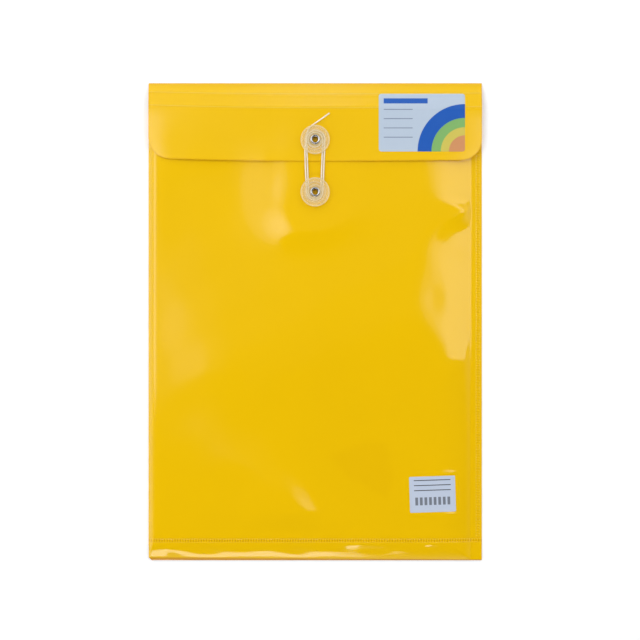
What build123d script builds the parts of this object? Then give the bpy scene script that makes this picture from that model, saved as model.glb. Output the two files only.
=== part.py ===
"""String tie envelope of plastic film.

A film pocket, folded at its left side, welded at its right side and closed by a
turn-up at its foot, has a flap that folds over its mouth. A button disc turns on
a rolled eyelet in the flap, another one in the pocket's front, and a string is
wound round both to hold the flap shut.

Millimetres. The envelope lies on its back: +X to the right, +Y towards the
flap's fold, +Z up. The origin is the centre of the outline, on the underside.
"""

import os
from math import acos, atan, atan2, cos, degrees, pi, radians, sin, tan

from build123d import *

# Envelope
WIDTH = 255.0
HEIGHT = 365.0
FILM = 0.25  # thickness of the film
POCKET_GAP = 5.0  # clear height between the panels
LAYER_GAP = 0.05  # between film layers that lie on each other

# Pocket
SIDE_FOLD_HEIGHT = 1.2  # outer height of the rolled fold at the left
SEAM_LIP = 4.5  # flat welded lip at the right
LEFT_MARGIN = 14.0  # widths over which the front comes down to its edges
RIGHT_MARGIN = 14.5
FOOT_MARGIN = 20.0
TURN_UP = 17.0  # height of the turn-up over the front
FRONT_TUCK = 11.0  # the front ends this far above the foot, inside the turn-up
MOUTH_DROP = 19.5  # the front's upper edge, below the top fold
FOOT_CORNER = 2.3  # cut corner at the left of the foot

# Flap
FLAP_DEPTH = 59.0  # from the top fold to the free edge
FLAP_CORNER = 16.0
FLAP_GAP = 0.35  # clear height between the front and the flap
FOLD_RADIUS = 0.25  # rolled edge of the top fold
FOLD_CLEARANCE = 0.05  # between the rolled edge and the back panel
CREASE_1 = 8.0  # score lines, below the top fold
CREASE_2 = 18.5
CREASE_1_RISE = 3.2  # of the film, from the fold to the first score line

# Buttons
BUTTON_DROP = 43.5  # flap button's centre, below the top fold
BUTTON_SPACING = 40.0
BUTTON_RADIUS = 11.2
BUTTON_PLATE = 0.7  # thickness of the disc
HUB_RADIUS = 3.6
HUB_HEIGHT = 1.9  # room for the string under the disc
RIM_WIDTH = 1.0
RIM_RISE = 0.25
RING_RADIUS = 7.7
RING_WIDTH = 0.9
RING_RISE = 0.15
SEAT_RADIUS = 5.0  # raised seat for the eyelet
SEAT_RISE = 0.1

# Eyelets
EYELET_BORE = 2.1  # radius
EYELET_WALL = 0.3
EYELET_CLEARANCE = 0.05  # between the eyelet and what turns on it or holds it
EYELET_FLANGE = 3.8  # radius of the rolled head
EYELET_HEAD = 0.6  # height of the rolled head
CLINCH_RADIUS = 3.3
CLINCH = 0.2  # thickness of the spread tail

# String
STRING = 1.1  # diameter
STRING_SIDES = 10  # of the string's section
STRING_PITCH = 1.55  # between neighbouring turns
STRING_HUB_GAP = 0.15  # between the string and a hub
STRING_FILM_GAP = 0.2  # between the string and the flap, at the flap button
STRING_SLOPE = 0.0078  # fall of the string, per millimetre towards the foot
# Free end of the string, from the flap button's centre, in the string's plane
TAIL_START = 0.85  # share of the last strand that belongs to the winding
TAIL_POINTS = [(-8.55, 7.0), (2.8, 14.2), (10.9, 20.2)]

# Labels
LABEL_FILM = 0.12
HEADER_WIDTH = 65.8
HEADER_HEIGHT = 44.2
HEADER_INSET = 13.1  # between the label and the right edge
HEADER_DROP = 8.4  # upper edge, below the top fold
HEADER_CORNER = 2.0
POCKET_LABEL_WIDTH = 35.1
POCKET_LABEL_HEIGHT = 27.4
POCKET_LABEL_INSET = 20.3  # between the label and the right edge
POCKET_LABEL_RISE = 37.1  # of the label above the foot
POCKET_LABEL_TURN = 1.8  # degrees
POCKET_LABEL_CORNER = 0.8

# Places that follow from the sizes above
RIGHT = WIDTH / 2
TOP = HEIGHT / 2
FOOT_FOLD_HEIGHT = 3 * FILM + LAYER_GAP
FOOT_AXIS_Y = -TOP + FOOT_FOLD_HEIGHT / 2
SIDE_AXIS_X = -RIGHT + SIDE_FOLD_HEIGHT / 2
MOUTH_Y = TOP - MOUTH_DROP
TUCK_Y = -TOP + FRONT_TUCK
TURN_UP_Y = -TOP + TURN_UP
FRONT_TOP = FILM + POCKET_GAP + FILM
FLAP_TOP = FRONT_TOP + FLAP_GAP + FILM
FLAP_BUTTON_Y = TOP - BUTTON_DROP
POCKET_BUTTON_Y = FLAP_BUTTON_Y - BUTTON_SPACING
HEADER_X = RIGHT - HEADER_INSET - HEADER_WIDTH / 2
POCKET_LABEL_X = RIGHT - POCKET_LABEL_INSET - POCKET_LABEL_WIDTH / 2
POCKET_LABEL_Y = -TOP + POCKET_LABEL_RISE + POCKET_LABEL_HEIGHT / 2
BUTTON_BORE = EYELET_BORE + EYELET_WALL + EYELET_CLEARANCE
BUTTON_SEAT = EYELET_CLEARANCE + HUB_HEIGHT + BUTTON_PLATE + SEAT_RISE  # above the film
# The flap's middle line, from the fold's axis over both score lines to its edge
FOLD_AXIS = (TOP - FOLD_RADIUS, FOLD_RADIUS + FILM / 2)
FLAP_LINE = [
    FOLD_AXIS,
    (TOP - CREASE_1, FOLD_AXIS[1] + CREASE_1_RISE),
    (TOP - CREASE_2, FLAP_TOP - FILM / 2),
    (TOP - FLAP_DEPTH, FLAP_TOP - FILM / 2),
]


def mound(lift):
    """Everything under the pocket's puffed front surface, raised by lift."""
    base = lift - FILM
    crown = lift + FRONT_TOP
    left_low = lift + SIDE_FOLD_HEIGHT
    right_low = lift + 2 * FILM
    with BuildPart() as body:
        with BuildSketch(Plane.XZ):
            with BuildLine():
                Polyline(
                    (SIDE_AXIS_X, left_low),
                    (-RIGHT, left_low),
                    (-RIGHT, base),
                    (RIGHT, base),
                    (RIGHT, right_low),
                    (RIGHT - SEAM_LIP, right_low),
                )
                left_crown = (SIDE_AXIS_X + LEFT_MARGIN, crown)
                right_crown = (RIGHT - SEAM_LIP - RIGHT_MARGIN, crown)
                TangentArc(right_crown, (RIGHT - SEAM_LIP, right_low), tangent=(1, 0))
                Line(right_crown, left_crown)
                TangentArc(left_crown, (SIDE_AXIS_X, left_low), tangent=(-1, 0))
            make_face()
        extrude(amount=HEIGHT, both=True)
        with BuildSketch(Plane.YZ):
            with BuildLine():
                foot_crown = (FOOT_AXIS_Y + FOOT_MARGIN, crown)
                Polyline(
                    (FOOT_AXIS_Y, right_low),
                    (FOOT_AXIS_Y, base),
                    (MOUTH_Y, base),
                    (MOUTH_Y, crown),
                    foot_crown,
                )
                TangentArc(foot_crown, (FOOT_AXIS_Y, right_low), tangent=(-1, 0))
            make_face()
        extrude(amount=WIDTH, both=True, mode=Mode.INTERSECT)
    return body.part


def foot_corner():
    """What the film's left corner at the foot loses."""
    with BuildPart() as body:
        with BuildSketch():
            with BuildLine():
                Polyline(
                    (-RIGHT, -TOP),
                    (-RIGHT + FOOT_CORNER, -TOP),
                    (-RIGHT, -TOP + FOOT_CORNER),
                    close=True,
                )
            make_face()
        extrude(amount=FRONT_TOP)
    return body.part


def rolled_fold(plane, height, length):
    """Half tube of film round a fold, bulging towards the plane's -x side."""
    radius = height / 2
    with BuildPart() as body:
        with BuildSketch(plane):
            Circle(radius)
            Circle(radius - FILM, mode=Mode.SUBTRACT)
            with Locations((radius, 0)):
                Rectangle(2 * radius, 4 * radius, mode=Mode.SUBTRACT)
        extrude(amount=length)
    return body.part


def mitred_band(line, first, last, low, high):
    """Sketch of a band along part of a line of points, between two heights above it.

    Its ends stand on the line's mitres where the line goes on, and are square
    to the line at the line's own ends.
    """
    points = [Vector(*p) for p in line]
    runs = [(b - a).normalized() for a, b in zip(points, points[1:])]

    def offset_point(index, height):
        before = runs[max(index - 1, 0)]
        after = runs[min(index, len(runs) - 1)]
        across = (before + after).normalized().rotate(Axis.Z, -90)
        half_turn = radians(before.get_angle(after)) / 2
        return points[index] + across * (height / cos(half_turn))

    indices = range(first, last + 1)
    upper = [offset_point(i, high) for i in indices]
    lower = [offset_point(i, low) for i in reversed(indices)]
    with BuildSketch(Plane.YZ) as band:
        with BuildLine():
            Polyline(*upper, *lower, close=True)
        make_face()
    return band.sketch


def radial_plane(y):
    """Plane of a turned profile about the upright axis at y: x outwards, y up."""
    return Plane(origin=(0, y, 0), x_dir=(1, 0, 0), z_dir=(0, -1, 0))


def turn_eyelet(y, film_top):
    """Rolled eyelet through the film, the button and their common axis at y."""
    film_under = film_top - FILM
    barrel = EYELET_BORE + EYELET_WALL
    head = film_top + BUTTON_SEAT + EYELET_CLEARANCE
    width = EYELET_FLANGE - EYELET_BORE
    with BuildPart() as body:
        with BuildSketch(radial_plane(y)):
            with BuildLine():
                Polyline(
                    (EYELET_BORE, head),
                    (EYELET_BORE, film_under - CLINCH),
                    (CLINCH_RADIUS, film_under - CLINCH),
                    (CLINCH_RADIUS, film_under),
                    (barrel, film_under),
                    (barrel, head),
                    (EYELET_FLANGE, head),
                    (EYELET_FLANGE - 0.06 * width, head + 0.55 * EYELET_HEAD),
                    (EYELET_FLANGE - 0.3 * width, head + EYELET_HEAD),
                    (EYELET_BORE + 0.3 * width, head + EYELET_HEAD),
                    (EYELET_BORE + 0.06 * width, head + 0.55 * EYELET_HEAD),
                    close=True,
                )
            make_face()
        revolve(axis=Axis((0, y, 0), (0, 0, 1)))
    return body.part


def turn_button(y, film_top):
    """Moulded disc on its hub, turning about the upright axis at y."""
    foot = film_top + EYELET_CLEARANCE
    under = foot + HUB_HEIGHT
    plate = under + BUTTON_PLATE
    seat = film_top + BUTTON_SEAT
    rim = plate + RIM_RISE
    ring = plate + RING_RISE
    with BuildPart() as body:
        with BuildSketch(radial_plane(y)) as profile:
            with BuildLine():
                Polyline(
                    (BUTTON_BORE, foot),
                    (HUB_RADIUS, foot),
                    (HUB_RADIUS, under),
                    (BUTTON_RADIUS, under),
                    (BUTTON_RADIUS, rim),
                    (BUTTON_RADIUS - RIM_WIDTH, rim),
                    (BUTTON_RADIUS - RIM_WIDTH - RIM_RISE, plate),
                    (RING_RADIUS + RING_WIDTH / 2, plate),
                    (RING_RADIUS + RING_WIDTH / 2 - RING_RISE, ring),
                    (RING_RADIUS - RING_WIDTH / 2 + RING_RISE, ring),
                    (RING_RADIUS - RING_WIDTH / 2, plate),
                    (SEAT_RADIUS + SEAT_RISE, plate),
                    (SEAT_RADIUS, seat),
                    (BUTTON_BORE, seat),
                    close=True,
                )
            make_face()
            edge = profile.vertices().group_by(Axis.X)[-1]
            chamfer(edge, length=RIM_WIDTH * 0.25)
        revolve(axis=Axis((0, y, 0), (0, 0, 1)))
    return body.part


def eyelet_hole(y, low, high):
    """What the film loses round an eyelet, between two heights."""
    with BuildPart() as body:
        with BuildSketch(Plane.XY.offset(low)):
            with Locations((0, y)):
                Circle(BUTTON_BORE)
        extrude(amount=high - low)
    return body.part


def strand(turn_a, turn_b):
    """Straight strand between two turns (x, y, radius), both wound clockwise.

    Gives its two ends and the direction of their common normal in degrees.
    """
    start = Vector(turn_a[0], turn_a[1])
    end = Vector(turn_b[0], turn_b[1])
    across = end - start
    lean = degrees(acos((turn_a[2] - turn_b[2]) / across.length))
    normal = across.normalized().rotate(Axis.Z, lean)
    angle = degrees(atan2(normal.Y, normal.X))
    return start + normal * turn_a[2], end + normal * turn_b[2], angle


# Pocket: back panel, flat on the ground
with BuildPart() as back_panel:
    back_end = TOP - 2 * FOLD_RADIUS - FOLD_CLEARANCE
    with BuildSketch():
        with BuildLine():
            Polyline(
                (SIDE_AXIS_X, FOOT_AXIS_Y),
                (RIGHT, FOOT_AXIS_Y),
                (RIGHT, back_end),
                (SIDE_AXIS_X, back_end),
                close=True,
            )
        make_face()
    extrude(amount=FILM)
    add(foot_corner(), mode=Mode.SUBTRACT)
back_panel.part.label = "back_panel"

# Pocket: puffed front panel, from inside the turn-up to the mouth
with BuildPart() as front_panel:
    add(mound(0))
    add(mound(-FILM), mode=Mode.SUBTRACT)
    split(bisect_by=Plane.XZ.offset(-TUCK_Y), keep=Keep.BOTTOM)
    split(bisect_by=Plane.YZ.offset(SIDE_AXIS_X), keep=Keep.TOP)
    add(eyelet_hole(POCKET_BUTTON_Y, FILM, FRONT_TOP), mode=Mode.SUBTRACT)
front_panel.part.label = "front_panel"

# Pocket: rolled fold at the left
with BuildPart() as side_fold:
    fold_plane = Plane(
        origin=(SIDE_AXIS_X, MOUTH_Y, SIDE_FOLD_HEIGHT / 2), x_dir=(1, 0, 0), z_dir=(0, -1, 0)
    )
    add(rolled_fold(fold_plane, SIDE_FOLD_HEIGHT, MOUTH_Y - TUCK_Y))
side_fold.part.label = "side_fold"

# Pocket: turn-up over the foot of the front, with the fold it comes from
with BuildPart() as foot_turn_up:
    add(mound(FILM + LAYER_GAP))
    add(mound(LAYER_GAP), mode=Mode.SUBTRACT)
    split(bisect_by=Plane.XZ.offset(-TURN_UP_Y), keep=Keep.TOP)
    foot_plane = Plane(
        origin=(-RIGHT, FOOT_AXIS_Y, FOOT_FOLD_HEIGHT / 2), x_dir=(0, 1, 0), z_dir=(1, 0, 0)
    )
    add(rolled_fold(foot_plane, FOOT_FOLD_HEIGHT, WIDTH))
    add(foot_corner(), mode=Mode.SUBTRACT)
foot_turn_up.part.label = "foot_turn_up"

# Flap: rolled top fold and the strip up to the first score line
with BuildPart() as flap_top_strip:
    with BuildSketch(Plane.YZ):
        with Locations(FOLD_AXIS):
            Circle(FOLD_RADIUS)
    extrude(amount=RIGHT, both=True)
    extrude(mitred_band(FLAP_LINE, 0, 1, -FILM / 2, FILM / 2), amount=RIGHT, both=True)
flap_top_strip.part.label = "flap_top_strip"

# Flap: strip between the score lines
with BuildPart() as flap_mid_strip:
    extrude(mitred_band(FLAP_LINE, 1, 2, -FILM / 2, FILM / 2), amount=RIGHT, both=True)
flap_mid_strip.part.label = "flap_mid_strip"

# Flap: panel with round corners
with BuildPart() as flap_panel:
    extrude(mitred_band(FLAP_LINE, 2, 3, -FILM / 2, FILM / 2), amount=RIGHT, both=True)
    fillet(flap_panel.edges().filter_by(Axis.Z), radius=FLAP_CORNER)
    add(eyelet_hole(FLAP_BUTTON_Y, FLAP_TOP - FILM, FLAP_TOP), mode=Mode.SUBTRACT)
flap_panel.part.label = "flap_panel"

# Eyelets
with BuildPart() as flap_eyelet:
    add(turn_eyelet(FLAP_BUTTON_Y, FLAP_TOP))
flap_eyelet.part.label = "flap_eyelet"

with BuildPart() as pocket_eyelet:
    add(turn_eyelet(POCKET_BUTTON_Y, FRONT_TOP))
pocket_eyelet.part.label = "pocket_eyelet"

# Buttons
with BuildPart() as flap_button:
    add(turn_button(FLAP_BUTTON_Y, FLAP_TOP))
flap_button.part.label = "flap_button"

with BuildPart() as pocket_button:
    add(turn_button(POCKET_BUTTON_Y, FRONT_TOP))
pocket_button.part.label = "pocket_button"

# Label on the flap, over the second score line
with BuildPart() as header_label:
    header_top = TOP - HEADER_DROP
    strip_slope = (FLAP_LINE[2][1] - FLAP_LINE[1][1]) / (CREASE_2 - CREASE_1)
    header_line = [
        (header_top, FLAP_LINE[2][1] - strip_slope * (header_top - FLAP_LINE[2][0])),
        FLAP_LINE[2],
        (header_top - HEADER_HEIGHT, FLAP_LINE[2][1]),
    ]
    header_band = mitred_band(header_line, 0, 2, FILM / 2, FILM / 2 + LABEL_FILM)
    extrude(header_band.moved(Location((HEADER_X, 0, 0))), amount=HEADER_WIDTH / 2, both=True)
    corners = header_label.edges().filter_by(lambda edge: edge.length < 1.01 * LABEL_FILM)
    ends = corners.sort_by(Axis.Y)
    fillet(ends[:2] + ends[-2:], radius=HEADER_CORNER)
header_label.part.label = "header_label"

# Label on the pocket
with BuildPart() as pocket_label:
    with BuildSketch(Plane.XY.offset(FRONT_TOP)):
        with Locations(Location((POCKET_LABEL_X, POCKET_LABEL_Y, 0), (0, 0, POCKET_LABEL_TURN))):
            RectangleRounded(POCKET_LABEL_WIDTH, POCKET_LABEL_HEIGHT, POCKET_LABEL_CORNER)
    extrude(amount=LABEL_FILM)
pocket_label.part.label = "pocket_label"

# String: knotted round the flap button's hub, then twice round both hubs
string_plane = Plane(
    origin=(0, FLAP_BUTTON_Y, FLAP_TOP + STRING_FILM_GAP + STRING / 2),
    x_dir=(1, 0, 0),
    z_dir=(0, -STRING_SLOPE, 1),
)
first = HUB_RADIUS + STRING_HUB_GAP + STRING / 2
shift = STRING_PITCH / 4
lower = -BUTTON_SPACING / cos(atan(STRING_SLOPE))
turns = [
    (shift, 0, first + 3 * shift),
    (-shift, lower, first + shift),
    (shift, 0, first + 7 * shift),
    (-shift, lower, first + 5 * shift),
    (*TAIL_POINTS[0], 0),
]
with BuildPart() as string_winding:
    with BuildLine(string_plane) as winding_path:
        Line((first, 0), (first, -STRING))
        CenterArc((-shift, -STRING), first + shift, 0, -180)
        Line((-first - 2 * shift, -STRING), (-first - 2 * shift, 0))
        arrival = 180
        for turn, following in zip(turns, turns[1:]):
            strand_start, strand_end, leaving = strand(turn, following)
            sweep_angle = (arrival - leaving) % 360
            CenterArc(turn[:2], turn[2], arrival, -sweep_angle)
            if following[2] == 0:
                strand_end = strand_start + (strand_end - strand_start) * TAIL_START
            Line((strand_start.X, strand_start.Y), (strand_end.X, strand_end.Y))
            arrival = leaving
    with BuildSketch(Plane(origin=winding_path.line @ 0, z_dir=winding_path.line % 0)):
        RegularPolygon(STRING / 2, STRING_SIDES)
    sweep(path=winding_path.line)
string_winding.part.label = "string_winding"

# String: its free end, out from under the flap button
with BuildPart() as string_tail:
    tail_run = [strand_end, *(Vector(*point) for point in TAIL_POINTS)]
    lengths = [(b - a).length for a, b in zip(tail_run, tail_run[1:])]
    bends = [
        radians((b - a).get_angle(c - b)) for a, b, c in zip(tail_run, tail_run[1:], tail_run[2:])
    ]
    bend_radii = [
        0.45 * min(before, after) / tan(bend / 2)
        for before, after, bend in zip(lengths, lengths[1:], bends)
    ]
    with BuildLine(string_plane) as tail_path:
        FilletPolyline(*((point.X, point.Y) for point in tail_run), radius=bend_radii)
    with BuildSketch(Plane(origin=tail_path.line @ 0, z_dir=tail_path.line % 0)):
        RegularPolygon(STRING / 2, STRING_SIDES)
    sweep(path=tail_path.line)
string_tail.part.label = "string_tail"

# Least clear gap between the string's own turns, measured between points on its middle line
winding = winding_path.wires()[0]
tail = tail_path.wires()[0]
samples = [winding @ (i / 800) for i in range(801)]
apart = int(6 * STRING / winding.length * 800)
least = min((p - q).length for i, p in enumerate(samples) for q in samples[i + apart :])
print("string: least gap", round(least - STRING, 3), "tail radii", [round(r, 2) for r in bend_radii])
print("string: length", round(winding.length + tail.length, 1))
section = STRING_SIDES * sin(2 * pi / STRING_SIDES) * STRING**2 / 8
winding_share = string_winding.part.volume / section / winding.length
tail_share = string_tail.part.volume / section / tail.length
print("string: volume over section x length", round(winding_share, 4), round(tail_share, 4))

os.makedirs("parts", exist_ok=True)
export_step(back_panel.part, "parts/back_panel.step")
export_step(front_panel.part, "parts/front_panel.step")
export_step(side_fold.part, "parts/side_fold.step")
export_step(foot_turn_up.part, "parts/foot_turn_up.step")
export_step(flap_top_strip.part, "parts/flap_top_strip.step")
export_step(flap_mid_strip.part, "parts/flap_mid_strip.step")
export_step(flap_panel.part, "parts/flap_panel.step")
export_step(flap_eyelet.part, "parts/flap_eyelet.step")
export_step(pocket_eyelet.part, "parts/pocket_eyelet.step")
export_step(flap_button.part, "parts/flap_button.step")
export_step(pocket_button.part, "parts/pocket_button.step")
export_step(header_label.part, "parts/header_label.step")
export_step(pocket_label.part, "parts/pocket_label.step")
export_step(string_winding.part, "parts/string_winding.step")
export_step(string_tail.part, "parts/string_tail.step")
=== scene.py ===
"""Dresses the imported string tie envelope: draped film, welded seams, discs, eyelets, string, labels."""

import math

import bpy
import numpy as np
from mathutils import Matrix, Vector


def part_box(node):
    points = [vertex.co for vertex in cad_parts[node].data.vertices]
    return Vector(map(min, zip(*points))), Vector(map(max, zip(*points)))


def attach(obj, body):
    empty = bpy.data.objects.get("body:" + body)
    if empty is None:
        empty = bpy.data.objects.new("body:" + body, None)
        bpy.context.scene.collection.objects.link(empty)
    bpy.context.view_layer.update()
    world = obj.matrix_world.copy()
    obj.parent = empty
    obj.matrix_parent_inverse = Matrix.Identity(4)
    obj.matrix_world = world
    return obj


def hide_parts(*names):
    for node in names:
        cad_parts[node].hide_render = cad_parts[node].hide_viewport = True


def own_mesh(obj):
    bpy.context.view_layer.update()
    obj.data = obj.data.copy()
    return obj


bl_info = {
    "name": "String Tie Envelope",
    "version": (1, 0, 0),
    "blender": (4, 5, 0),
    "location": "3D View > Sidebar > Envelope",
    "description": "Builds the film, seams, buttons, string and labels of a string tie envelope",
    "category": "Object",
}

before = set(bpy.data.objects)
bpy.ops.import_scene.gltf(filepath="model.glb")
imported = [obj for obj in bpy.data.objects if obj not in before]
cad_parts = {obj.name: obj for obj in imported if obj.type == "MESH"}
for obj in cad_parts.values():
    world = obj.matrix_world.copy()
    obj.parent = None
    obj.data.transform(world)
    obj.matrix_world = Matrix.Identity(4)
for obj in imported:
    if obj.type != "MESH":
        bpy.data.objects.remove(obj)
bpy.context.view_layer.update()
MM = 0.001


def node_box(node):
    """Lowest and highest corner of a CAD node in millimetres."""
    low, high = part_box(node)
    return np.array(low) / MM, np.array(high) / MM


# Places read from the frame, in millimetres
SIDE_AXIS, FOOT_AXIS = node_box("back_panel")[0][:2]
FRONT_LOW, FRONT_HIGH = node_box("front_panel")
TURN_LOW, TURN_HIGH = node_box("foot_turn_up")
FLAP_LOW, FLAP_HIGH = node_box("flap_panel")
HEADER_LOW, HEADER_HIGH = node_box("header_label")
LABEL_MIDDLE = np.add(*node_box("pocket_label")) / 2
FLAP_BUTTON = (np.add(*node_box("flap_button")) / 2)[:2]
POCKET_BUTTON = (np.add(*node_box("pocket_button")) / 2)[:2]
RIGHT = TURN_HIGH[0]
FOOT = TURN_LOW[1]
TOP = node_box("flap_top_strip")[1][1]
FRONT_TOP = FRONT_HIGH[2]
FLAP_TOP = FLAP_HIGH[2]
FLAP_EDGE = FLAP_LOW[1]

# Pocket, in millimetres
LEFT_LOW = 1.2  # outer height of the rolled fold at the left
LEFT_RISE = 6.5  # width over which the front rises from that fold
LIP_START = 123.0  # the welded lip runs from here to the right edge
LIP_TOP = 0.5
SEAM_START = LIP_START - 1.0  # where the front film ends and the seam's piece begins
FOOT_RISE = 20.0  # width over which the front rises from the foot
SEAM_WELD = RIGHT - 3.05  # middle of the seam's weld bars
FOOT_WELD = TURN_HIGH[1] - 1.7  # middle of the foot's weld bars
FOOT_CORNER = 2.3  # cut corner at the left of the foot
FOOT_TRIM = 0.2  # keeps the slanted ends of the turn-up inside the outline
HALF_ROLL = np.linspace(-np.pi / 2, np.pi / 2, 9)[:-1]  # angles of a rolled fold, from under to over
FILM_HOLE = 2.9  # radius of the film's hole for an eyelet
POCKET_LABEL_SIZE = (35.1, 27.4)
POCKET_LABEL_TURN = 1.8  # degrees

# Weld bars: half width at the foot, width of the slanted edge
SEAM_BAR = (1.35, 0.3)
FOOT_BAR = (1.1, 0.25)
# How far weld bars are deepened, and the lines beside them whitened
SEAM_TONE = (0.12, 0.3)
FOOT_TONE = (0.6, 0.5)
# Those lines: share, distance from the row's middle, spread
SEAM_LINES = [(1.0, 1.25, 0.45)]
FOOT_LINES = [(1.0, 1.3, 0.4), (0.5, -1.3, 0.35)]

# Slack ridges of the film: height, middle, spread along x and y, spread to the right, turn in degrees
RIDGES = [
    (6.6, (-11, 73), (21, 14), 34, 14),
    (-7.0, (-66, 104), (56, 32), 34, 0),
    (2.4, (-62, -24), (32, 60), 130, 0),
    (6.6, (-16, -145), (50, 42), 15, 42),
    (2.4, (-62, -108), (30, 24), 70, -20),
]
# The slack starts this far from the string, the sides, the foot and the top, and grows over this width
SLACK_STRING = (12, 22)
SLACK_SIDES = (6, 22)
SLACK_FOOT = (18, 20)
SLACK_TOP = (12, 16)
# Where the front's fall to the welded seam ends, and how wide it is along its height: (y, width)
FALL_END = 119.0
FALL = np.array([
    (-182, 34), (-60, 32), (-28, 26), (-18, 32), (-6, 48), (4, 60), (16, 68), (34, 66), (54, 56), (66, 48),
    (74, 38), (80, 12), (83, 8), (87, 11), (93, 42), (105, 56), (125, 62), (182, 62),
])
# Small tilts in that fall: middle, spread, slope
TILTS = [((105, 58), (14, 9), 0.04), ((97, 17), (11, 14), 0.06)]
# Outline of a darker patch on the front, and how wide its edge is
DARK_PATCH = [(7, -102), (23, -121), (57, -140), (63, -117), (57, -90), (38, -88)]
DARK_PATCH_EDGE = 6.0
# Raised rim round the pocket label: height, distance from the label's edge, spread
PUCKER = (0.28, 2.2, 1.6)
# Small bumps of the turn-up under its weld: height, middle, spread along x and y
FOOT_BUMPS = [(0.62, (36, -170.3), (13, 2.2)), (0.6, (90, -169.8), (7, 1.9))]

# Flap, in millimetres. Its middle line as part.py has it: fold axis, two score lines, free edge
FLAP_LINE = np.array([
    (TOP - 0.25, 0.375),
    (TOP - 8.0, 3.575),
    (TOP - 18.5, FLAP_TOP - 0.125),
    (FLAP_EDGE, FLAP_TOP - 0.125),
])
FOLD_RADIUS = 0.25
FLAP_CORNER = 16.0
FLAP_HALF = RIGHT - 0.1
FLAP_HANG = 0.9  # hang of the middle of the flap's lines
FLAP_RISE = (2.4, 0.9)  # rise of their left and right ends
BOW_START = 7.0  # height over which that bow grows
# A score's relief by distance: height, middle, spread
SCORE_RELIEF = [(-0.13, 0.0, 0.55), (0.05, 1.4, 0.7)]
# Painted shade and highlight across a score, deeper above zero, paler below: share, middle, spread
SCORE_SHADE_AND_HIGHLIGHT = [(0.4, -0.35, 0.3), (-0.6, 0.25, 0.35)]
FOLD_TONE = 0.4
EDGE_TONE = (0.45, 0.7)  # at the cut edge: share, spread
FLAP_DROOP = 0.8  # of the flap's ends
DROOP_OUT = (106.0, 21.5)  # its start at each side, and width
DROOP_DOWN = 10.0  # height over which it grows
FLAP_LIFT = (1.1, 0.7)  # of the free edge, left and right
LIFT_UP = 9.0  # its spread up the flap
LIFT_FROM = (16.0, 22.0)  # its start beside the button, and width
LIFT_TO = (124.0, 25.0)  # its end at the sides, and width

# Buttons, in millimetres
TURNED_REACH = 12.0  # radius at which a turned piece's u is 1
DISC_UNDER = 1.9  # height of the plate's underside over the disc's foot
DISC_PLATE = 2.6  # height of the plate's top
EYELET_HEAD = 0.6  # thickness of an eyelet's rolled head
EYELET_FLANGE = 0.2  # thickness of its flange under the film

# The string's route as part.py has it, in millimetres
STRING_PITCH = 1.55
STRING_FIRST = 4.3
STRING_SLOPE = 0.0078
STRING_GAP = 0.2  # over the flap
TAIL_POINTS = [(-8.55, 7.0), (2.8, 14.2), (10.9, 20.2)]
TAIL_GAPS = [0.2, 0.12, 0.1]
STRING_REST = (4, 17)  # from the flap button to where the film still lies flat under the free end

# Labels, in millimetres
LABEL_FILM = 0.11  # thickness
LABEL_TOP = 0.13  # height of a label's top over the film

# Stage: the floor in millimetres, lamps and camera in metres
FLOOR_REACH = 6000.0
FLOOR_DROP = 0.3
WHITE = (1, 1, 1)
SOFTBOX_TINT = (0.96, 0.99, 1.03)
SOFTBOX_HEIGHT = 1.5
SOFTBOX_FAR = 1.5  # the softboxes' far end
SOFTBOX_FADE = 0.35  # width over which they come up to their full glow
CAMERA_HEIGHT = 2.2
CAMERA_PLACE = (0.0037, 0.0013)
VIEW_WIDTH = 0.48864


def length_setting(name, description, default):
    """Setting for a length, given in millimetres."""
    return bpy.props.FloatProperty(
        name=name, description=description, default=default * MM, subtype="DISTANCE", precision=5
    )


def colour_setting(what, default):
    """Setting for the colour of what is named."""
    return bpy.props.FloatVectorProperty(
        name=what.capitalize(), description="Colour of the " + what, default=default, size=3,
        subtype="COLOR", min=0, max=1,
    )


class EnvelopeSizes(bpy.types.PropertyGroup):
    """Sizes of the envelope's film, seams and small parts."""

    film: length_setting("Film", "Film thickness", 0.25)
    drape: length_setting("Drape", "Height of the film's slack waves", 0.42)
    weld_pitch: length_setting("Weld Pitch", "Distance between weld bars", 2.0)
    weld_depth: length_setting("Weld Depth", "Depth of the weld bars", 0.14)
    string: length_setting("String", "Diameter of the string", 1.1)
    disc_steps: bpy.props.IntProperty(
        name="Disc Steps", description="Steps round a turned piece", default=128, min=24, max=256
    )


class EnvelopeColours(bpy.types.PropertyGroup):
    """Colours of the envelope's finishes."""

    film: colour_setting("film", (0.95, 0.57, 0.0005))
    film_deep: colour_setting("film where it is cloudy", (0.82, 0.47, 0.001))
    # Used for folds, welds, the flap's cut edge and a darker patch on the front, and for painted shade at the
    # foot's fold, the scores and the eyelet bores
    film_fold_and_shade: colour_setting("film at folds and welds", (0.68, 0.31, 0.001))
    # Used for the pale lines beside the welds, and for painted highlights at the scores
    film_pale_and_highlight: colour_setting("film at its whitened scores", (0.88, 0.62, 0.1))
    disc: colour_setting("moulded buttons", (0.86, 0.7, 0.38))
    metal: colour_setting("plated eyelets", (0.56, 0.55, 0.53))
    string: colour_setting("string", (0.93, 0.83, 0.64))
    label_ground: colour_setting("flap label's ground", (0.45, 0.53, 0.63))
    label_blue: colour_setting("flap label's blue ink", (0.001, 0.085, 0.42))
    label_green: colour_setting("flap label's green ink", (0.2, 0.42, 0.12))
    label_orange: colour_setting("flap label's orange ink", (0.6, 0.26, 0.1))
    label_olive: colour_setting("flap label's olive ink", (0.6, 0.5, 0.08))
    label_white: colour_setting("pocket label's ground", (0.5, 0.56, 0.68))
    label_ink: colour_setting("pocket label's bars", (0.05, 0.055, 0.07))


def sizes():
    """The envelope's size settings."""
    return bpy.context.scene.envelope_sizes


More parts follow.
